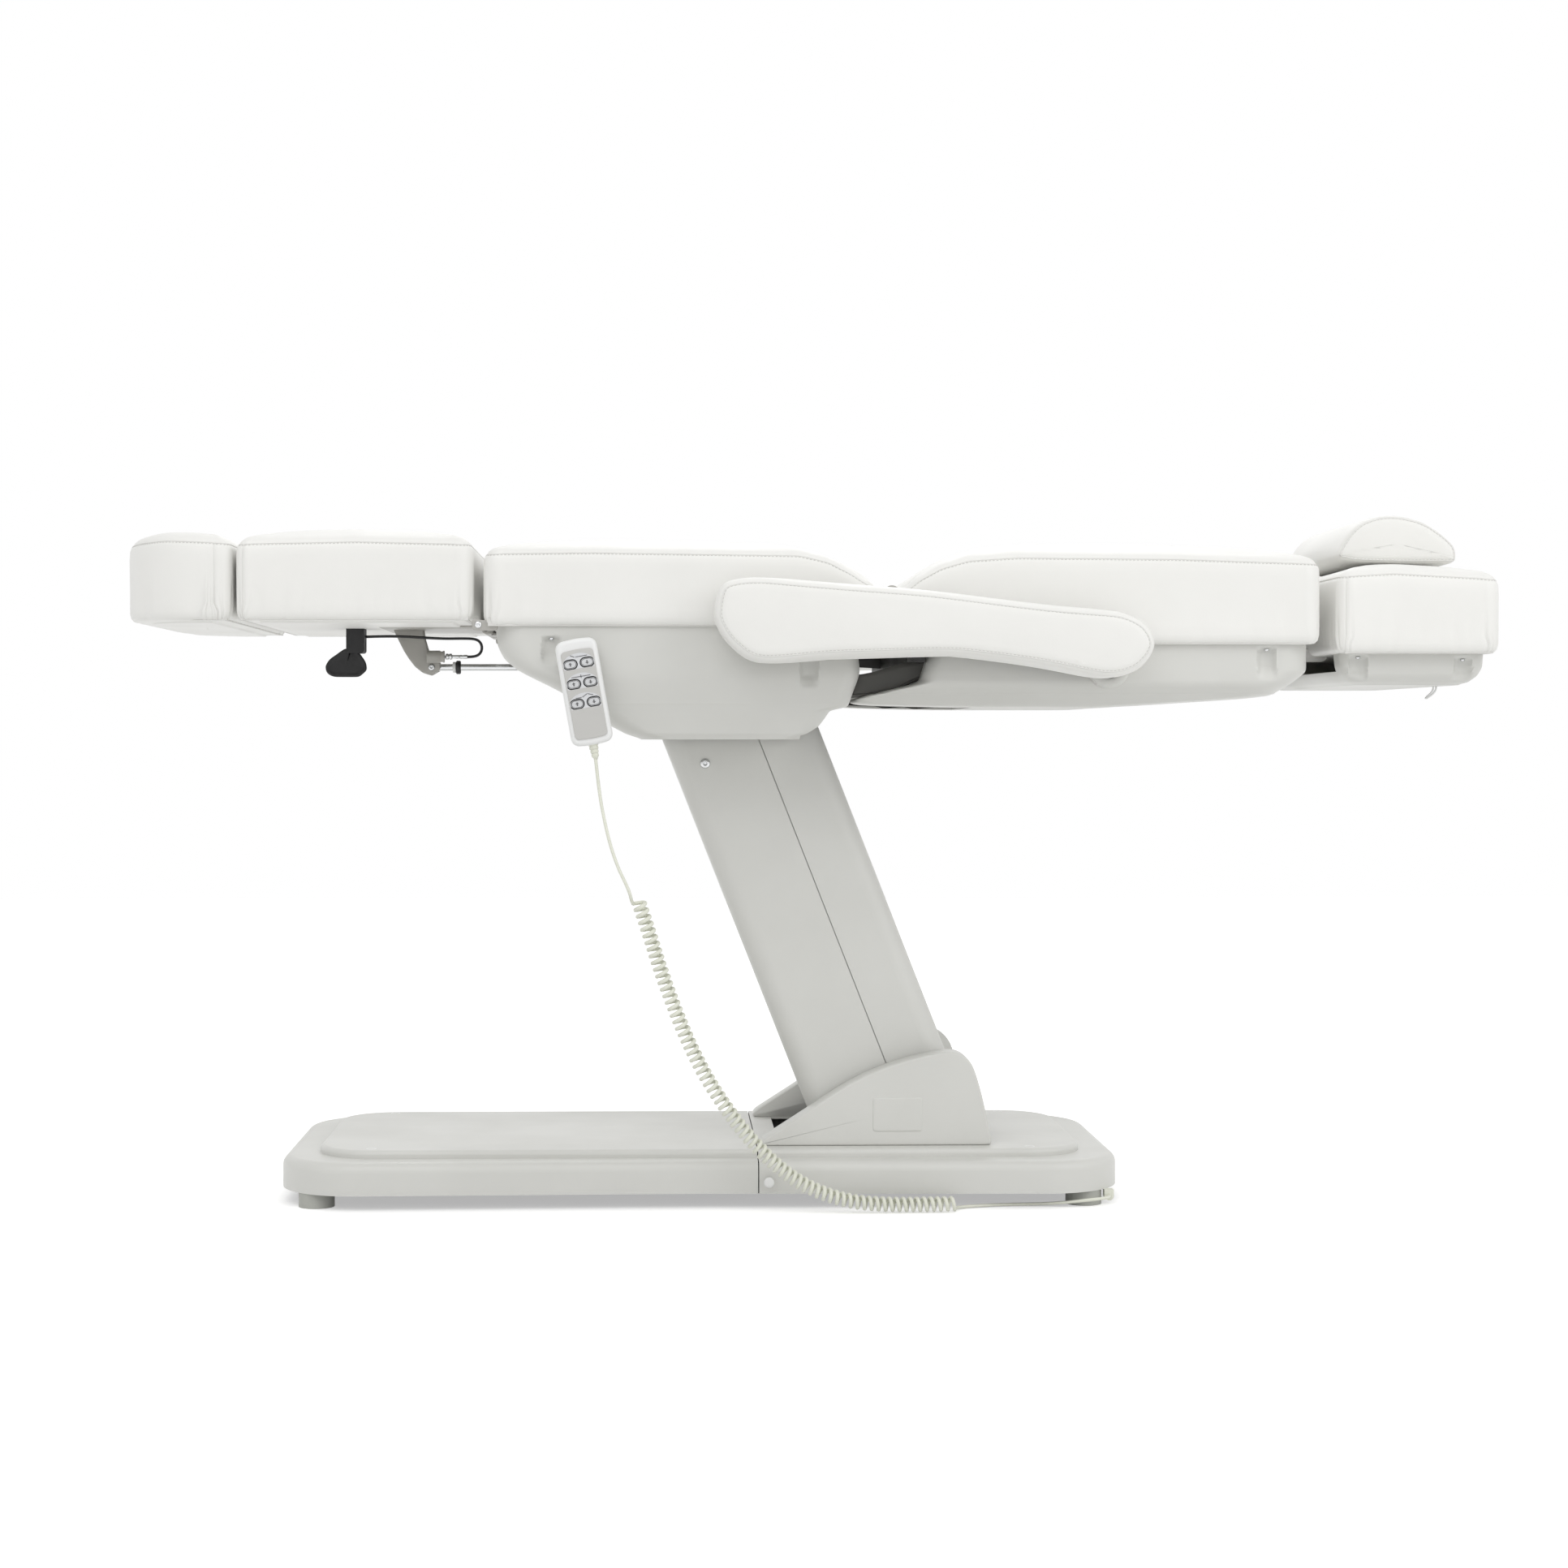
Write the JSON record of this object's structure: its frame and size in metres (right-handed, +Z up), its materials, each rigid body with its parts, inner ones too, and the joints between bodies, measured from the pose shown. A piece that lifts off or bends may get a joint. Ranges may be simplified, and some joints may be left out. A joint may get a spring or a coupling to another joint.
{
  "type": "beauty treatment chair",
  "caption": "Powered beauty treatment chair: padded white bed with leg rest, seat, back, head rest and arm rests on a grey leaning lift column and base, with hand control on a curly cord.",
  "frame": {"origin": "on the floor under the middle of the chair's box", "axes": "+X points to the head end, +Y to the sitter's left when facing the foot end, +Z up"},
  "size_m": [1.9, 0.81, 0.9703],
  "materials": {
    "white_leatherette": "smooth white upholstery leatherette, matte",
    "grey_moulding": "light warm grey moulded plastic, fine satin grain",
    "dark_steel": "black powder-coated steel",
    "grey_steel": "grey painted steel",
    "bright_steel": "polished rod",
    "motor_black": "black motor housing",
    "board": "plywood board",
    "rubber_black": "black rubber",
    "handset_white": "white handset shell",
    "handset_grey": "printed grey membrane",
    "cord_cream": "cream cord jacket",
    "cable_black": "black cable jacket"
  },
  "bodies": {
    "base": {"base_front_cover": "grey_moulding", "base_rear_cover": "grey_moulding", "column_shroud_right": "grey_moulding", "column_shroud_left": "grey_moulding", "base_frame": "dark_steel", "base_feet": "rubber_black", "control_box": "motor_black", "lift_motor": "motor_black", "cord_gland": "cord_cream", "cord_lower_lead": "cord_cream", "curly_cord": "cord_cream"},
    "lift_ram": {"lift_rod": "bright_steel"},
    "front_arm": {"front_arm": "dark_steel", "column_front_cover": "grey_moulding"},
    "rear_arm": {"rear_arm": "dark_steel", "column_rear_cover": "grey_moulding"},
    "carrier": {"lift_carrier": "dark_steel"},
    "seat": {"seat_rails": "dark_steel", "seat_cross_tubes": "dark_steel", "seat_board": "board", "seat_hinge_plates": "dark_steel", "seat_casing": "grey_moulding", "seat_motors": "motor_black", "leg_hinge": "grey_steel", "seat_cushion": "white_leatherette", "handset_case": "handset_white", "handset_face": "handset_grey", "cord_upper_lead": "cord_cream"},
    "tilt_ram": {"tilt_rod": "bright_steel"},
    "back_ram": {"back_rod": "bright_steel"},
    "back": {"back_rails": "dark_steel", "back_crossbar": "dark_steel", "head_lugs": "dark_steel", "back_board": "board", "back_casing": "grey_moulding", "back_cushion": "white_leatherette"},
    "headrest": {"head_board": "board", "head_casing": "grey_moulding", "head_cushion": "white_leatherette", "head_pillow": "white_leatherette"},
    "arm_left": {"arm_bracket_left": "dark_steel", "arm_pad_left": "white_leatherette"},
    "arm_right": {"arm_bracket_right": "dark_steel", "arm_pad_right": "white_leatherette"},
    "leg": {"leg_bracket": "grey_steel", "calf_board": "board", "calf_cushion": "white_leatherette", "lever_housing": "motor_black", "release_cable": "cable_black"},
    "foot": {"foot_board": "board", "foot_cushion": "white_leatherette"},
    "paddle": {"release_paddle": "motor_black"},
    "gas_rod": {"gas_spring_rod": "bright_steel"},
    "gas_cylinder": {"gas_spring_cylinder": "motor_black"},
    "key_1": {"key_1": "handset_grey"},
    "key_2": {"key_2": "handset_grey"},
    "key_3": {"key_3": "handset_grey"},
    "key_4": {"key_4": "handset_grey"},
    "key_5": {"key_5": "handset_grey"},
    "key_6": {"key_6": "handset_grey"}
  },
  "joints": [
    {"name": "lift", "type": "hinge", "parent": "base", "child": "front_arm", "pos_m": [0.0587, 0, 0.105], "axis": [0, -1, 0], "range_deg": [0, 40], "deforming": ["curly_cord"]},
    {"name": "rear_arm_swing", "type": "hinge", "parent": "base", "child": "rear_arm", "pos_m": [0.16633, 0, 0.20022], "axis": [0, -1, 0], "range_deg": [0, 40]},
    {"name": "carrier_level", "type": "hinge", "parent": "front_arm", "child": "carrier", "pos_m": [-0.1612, 0, 0.66325], "axis": [0, -1, 0], "range_deg": [-40, 0]},
    {"name": "lift_ram_slide", "type": "slide", "parent": "base", "child": "lift_ram", "axis": [1, 0, 0], "range_m": [0, 0.03577]},
    {"name": "seat_tilt", "type": "hinge", "parent": "carrier", "child": "seat", "pos_m": [-0.05358, 0, 0.75847], "axis": [0, 1, 0], "range_deg": [0, 10]},
    {"name": "tilt_ram_slide", "type": "slide", "parent": "seat", "child": "tilt_ram", "axis": [1, 0, 0], "range_m": [0, 0.00888]},
    {"name": "back_recline", "type": "hinge", "parent": "seat", "child": "back", "pos_m": [0.106, 0, 0.84997], "axis": [0, -1, 0], "range_deg": [0, 75]},
    {"name": "back_ram_slide", "type": "slide", "parent": "seat", "child": "back_ram", "axis": [1, 0, 0], "range_m": [0, 0.11586]},
    {"name": "headrest_tilt", "type": "hinge", "parent": "back", "child": "headrest", "pos_m": [0.706, 0, 0.77197], "axis": [0, -1, 0], "range_deg": [-35, 8]},
    {"name": "arm_left_swing", "type": "hinge", "parent": "back", "child": "arm_left", "pos_m": [0.404, 0.295, 0.74997], "axis": [0, 1, 0], "range_deg": [0, 90]},
    {"name": "arm_right_swing", "type": "hinge", "parent": "back", "child": "arm_right", "pos_m": [0.404, -0.295, 0.74997], "axis": [0, 1, 0], "range_deg": [0, 90]},
    {"name": "leg_drop", "type": "hinge", "parent": "seat", "child": "leg", "pos_m": [-0.4565, 0, 0.80797], "axis": [0, -1, 0], "range_deg": [0, 80]},
    {"name": "gas_rod_swing", "type": "hinge", "parent": "leg", "child": "gas_rod", "pos_m": [-0.542, 0, 0.75697], "axis": [0, -1, 0], "range_deg": [-80, 0]},
    {"name": "gas_stroke", "type": "slide", "parent": "gas_rod", "child": "gas_cylinder", "axis": [-1, 0, 0], "range_m": [0, 0.12108]},
    {"name": "foot_slide", "type": "slide", "parent": "leg", "child": "foot", "axis": [-1, 0, 0], "range_m": [0, 0.15]},
    {"name": "paddle_press", "type": "hinge", "parent": "leg", "child": "paddle", "pos_m": [-0.648, -0.047, 0.78547], "axis": [0, 1, 0], "range_deg": [0, 15], "stiffness_Nm_per_rad": 0.6},
    {"name": "key_1_press", "type": "slide", "parent": "seat", "child": "key_1", "axis": [0, 1, 0], "range_m": [0, 0.0005], "stiffness_N_per_m": 900},
    {"name": "key_2_press", "type": "slide", "parent": "seat", "child": "key_2", "axis": [0, 1, 0], "range_m": [0, 0.0005], "stiffness_N_per_m": 900},
    {"name": "key_3_press", "type": "slide", "parent": "seat", "child": "key_3", "axis": [0, 1, 0], "range_m": [0, 0.0005], "stiffness_N_per_m": 900},
    {"name": "key_4_press", "type": "slide", "parent": "seat", "child": "key_4", "axis": [0, 1, 0], "range_m": [0, 0.0005], "stiffness_N_per_m": 900},
    {"name": "key_5_press", "type": "slide", "parent": "seat", "child": "key_5", "axis": [0, 1, 0], "range_m": [0, 0.0005], "stiffness_N_per_m": 900},
    {"name": "key_6_press", "type": "slide", "parent": "seat", "child": "key_6", "axis": [0, 1, 0], "range_m": [0, 0.0005], "stiffness_N_per_m": 900}
  ],
  "couplings": [
    {"joint": "rear_arm_swing", "follows": "lift", "ratio": 1},
    {"joint": "carrier_level", "follows": "lift", "ratio": -1},
    {"joint": "lift_ram_slide", "follows": "lift", "m_per_rad": 0.05095},
    {"joint": "tilt_ram_slide", "follows": "seat_tilt", "m_per_rad": 0.049747},
    {"joint": "back_ram_slide", "follows": "back_recline", "m_per_rad": 0.088361},
    {"joint": "gas_rod_swing", "follows": "leg_drop", "ratio": -1},
    {"joint": "gas_stroke", "follows": "leg_drop", "m_per_rad": 0.086573}
  ]
}
